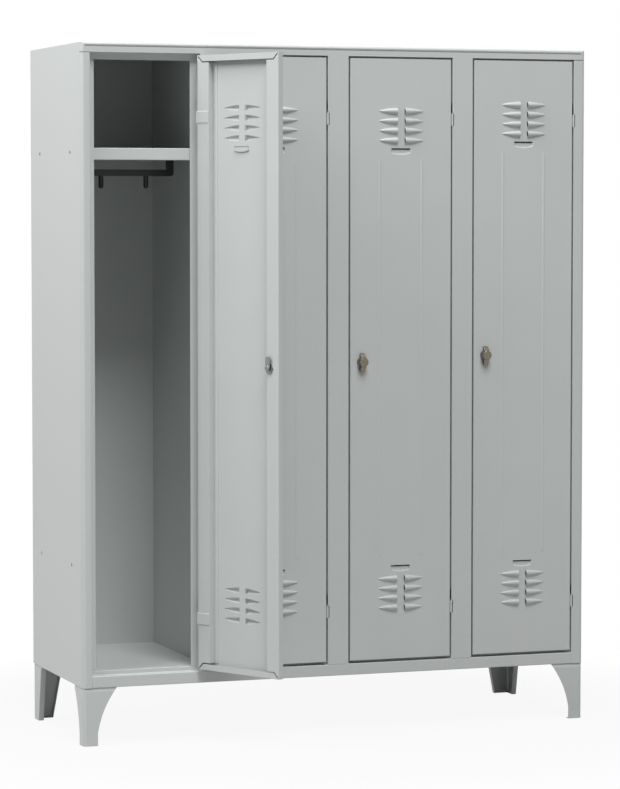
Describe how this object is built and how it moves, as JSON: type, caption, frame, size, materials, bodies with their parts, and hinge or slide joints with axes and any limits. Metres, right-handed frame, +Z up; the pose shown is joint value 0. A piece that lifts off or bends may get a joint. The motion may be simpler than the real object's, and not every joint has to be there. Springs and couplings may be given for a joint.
{
  "type": "locker cabinet",
  "caption": "Sheet-steel locker cabinet on pressed corner feet, with vented hinged doors, turn latches, and a hat shelf and coat rail in each compartment.",
  "frame": {"origin": "on the floor, under the middle of the cabinet's width and depth", "axes": "+X to the right as seen from the front, -Y out of the front where the doors are, +Z up"},
  "size_m": [1.4, 0.7606, 1.8],
  "materials": {
    "painted_sheet_steel": "light grey powder coat, satin, very fine orange peel",
    "black_plastic": "black moulded plastic, satin",
    "nickel_plated_zinc": "dull nickel plating on die-cast zinc",
    "zinc_plated_steel": "bright zinc plating"
  },
  "bodies": {
    "cabinet": {"left_side_panel": "painted_sheet_steel", "right_side_panel": "painted_sheet_steel", "right_front_post": "painted_sheet_steel", "roof_panel": "painted_sheet_steel", "floor_panel": "painted_sheet_steel", "back_panel": "painted_sheet_steel", "post_1": "painted_sheet_steel", "divider_1": "painted_sheet_steel", "post_2": "painted_sheet_steel", "divider_2": "painted_sheet_steel", "post_3": "painted_sheet_steel", "divider_3": "painted_sheet_steel", "hat_shelf_1": "painted_sheet_steel", "coat_rail_1": "black_plastic", "hat_shelf_2": "painted_sheet_steel", "coat_rail_2": "black_plastic", "hat_shelf_3": "painted_sheet_steel", "coat_rail_3": "black_plastic", "hat_shelf_4": "painted_sheet_steel", "coat_rail_4": "black_plastic", "coat_rail_screws": "zinc_plated_steel", "front_left_foot": "painted_sheet_steel", "front_right_foot": "painted_sheet_steel", "rear_left_foot": "painted_sheet_steel", "rear_right_foot": "painted_sheet_steel", "foot_fasteners": "zinc_plated_steel", "hinge_brackets": "painted_sheet_steel", "hinge_pins": "zinc_plated_steel"},
    "door_1": {"door_panel_1": "painted_sheet_steel", "hinge_stiffener_1": "painted_sheet_steel", "hinge_straps_1": "painted_sheet_steel", "lock_housing_1": "nickel_plated_zinc", "lock_nut_1": "zinc_plated_steel"},
    "latch_1": {"lock_knob_1": "nickel_plated_zinc", "lock_cam_1": "zinc_plated_steel", "cam_screw_1": "zinc_plated_steel"},
    "door_2": {"door_panel_2": "painted_sheet_steel", "hinge_stiffener_2": "painted_sheet_steel", "hinge_straps_2": "painted_sheet_steel", "lock_housing_2": "nickel_plated_zinc", "lock_nut_2": "zinc_plated_steel"},
    "latch_2": {"lock_knob_2": "nickel_plated_zinc", "lock_cam_2": "zinc_plated_steel", "cam_screw_2": "zinc_plated_steel"},
    "door_3": {"door_panel_3": "painted_sheet_steel", "hinge_stiffener_3": "painted_sheet_steel", "hinge_straps_3": "painted_sheet_steel", "lock_housing_3": "nickel_plated_zinc", "lock_nut_3": "zinc_plated_steel"},
    "latch_3": {"lock_knob_3": "nickel_plated_zinc", "lock_cam_3": "zinc_plated_steel", "cam_screw_3": "zinc_plated_steel"},
    "door_4": {"door_panel_4": "painted_sheet_steel", "hinge_stiffener_4": "painted_sheet_steel", "hinge_straps_4": "painted_sheet_steel", "lock_housing_4": "nickel_plated_zinc", "lock_nut_4": "zinc_plated_steel"},
    "latch_4": {"lock_knob_4": "nickel_plated_zinc", "lock_cam_4": "zinc_plated_steel", "cam_screw_4": "zinc_plated_steel"}
  },
  "joints": [
    {"name": "door_1_hinge", "type": "hinge", "parent": "cabinet", "child": "door_1", "pos_m": [-0.382, -0.2481, 0.976], "axis": [0, 0, 1], "range_deg": [-118, 12]},
    {"name": "latch_1_turn", "type": "hinge", "parent": "door_1", "child": "latch_1", "pos_m": [-0.25967, -0.47413, 0.976], "axis": [0.8829, 0.4695, 0], "range_deg": [0, 90]},
    {"name": "door_2_hinge", "type": "hinge", "parent": "cabinet", "child": "door_2", "pos_m": [-0.032, -0.2481, 0.976], "axis": [0, 0, 1], "range_deg": [0, 130]},
    {"name": "latch_2_turn", "type": "hinge", "parent": "door_2", "child": "latch_2", "pos_m": [-0.289, -0.25, 0.976], "axis": [0, -1, 0], "range_deg": [0, 90]},
    {"name": "door_3_hinge", "type": "hinge", "parent": "cabinet", "child": "door_3", "pos_m": [0.318, -0.2481, 0.976], "axis": [0, 0, 1], "range_deg": [0, 130]},
    {"name": "latch_3_turn", "type": "hinge", "parent": "door_3", "child": "latch_3", "pos_m": [0.061, -0.25, 0.976], "axis": [0, -1, 0], "range_deg": [0, 90]},
    {"name": "door_4_hinge", "type": "hinge", "parent": "cabinet", "child": "door_4", "pos_m": [0.668, -0.2481, 0.976], "axis": [0, 0, 1], "range_deg": [0, 130]},
    {"name": "latch_4_turn", "type": "hinge", "parent": "door_4", "child": "latch_4", "pos_m": [0.411, -0.25, 0.989], "axis": [0, -1, 0], "range_deg": [0, 90]}
  ]
}
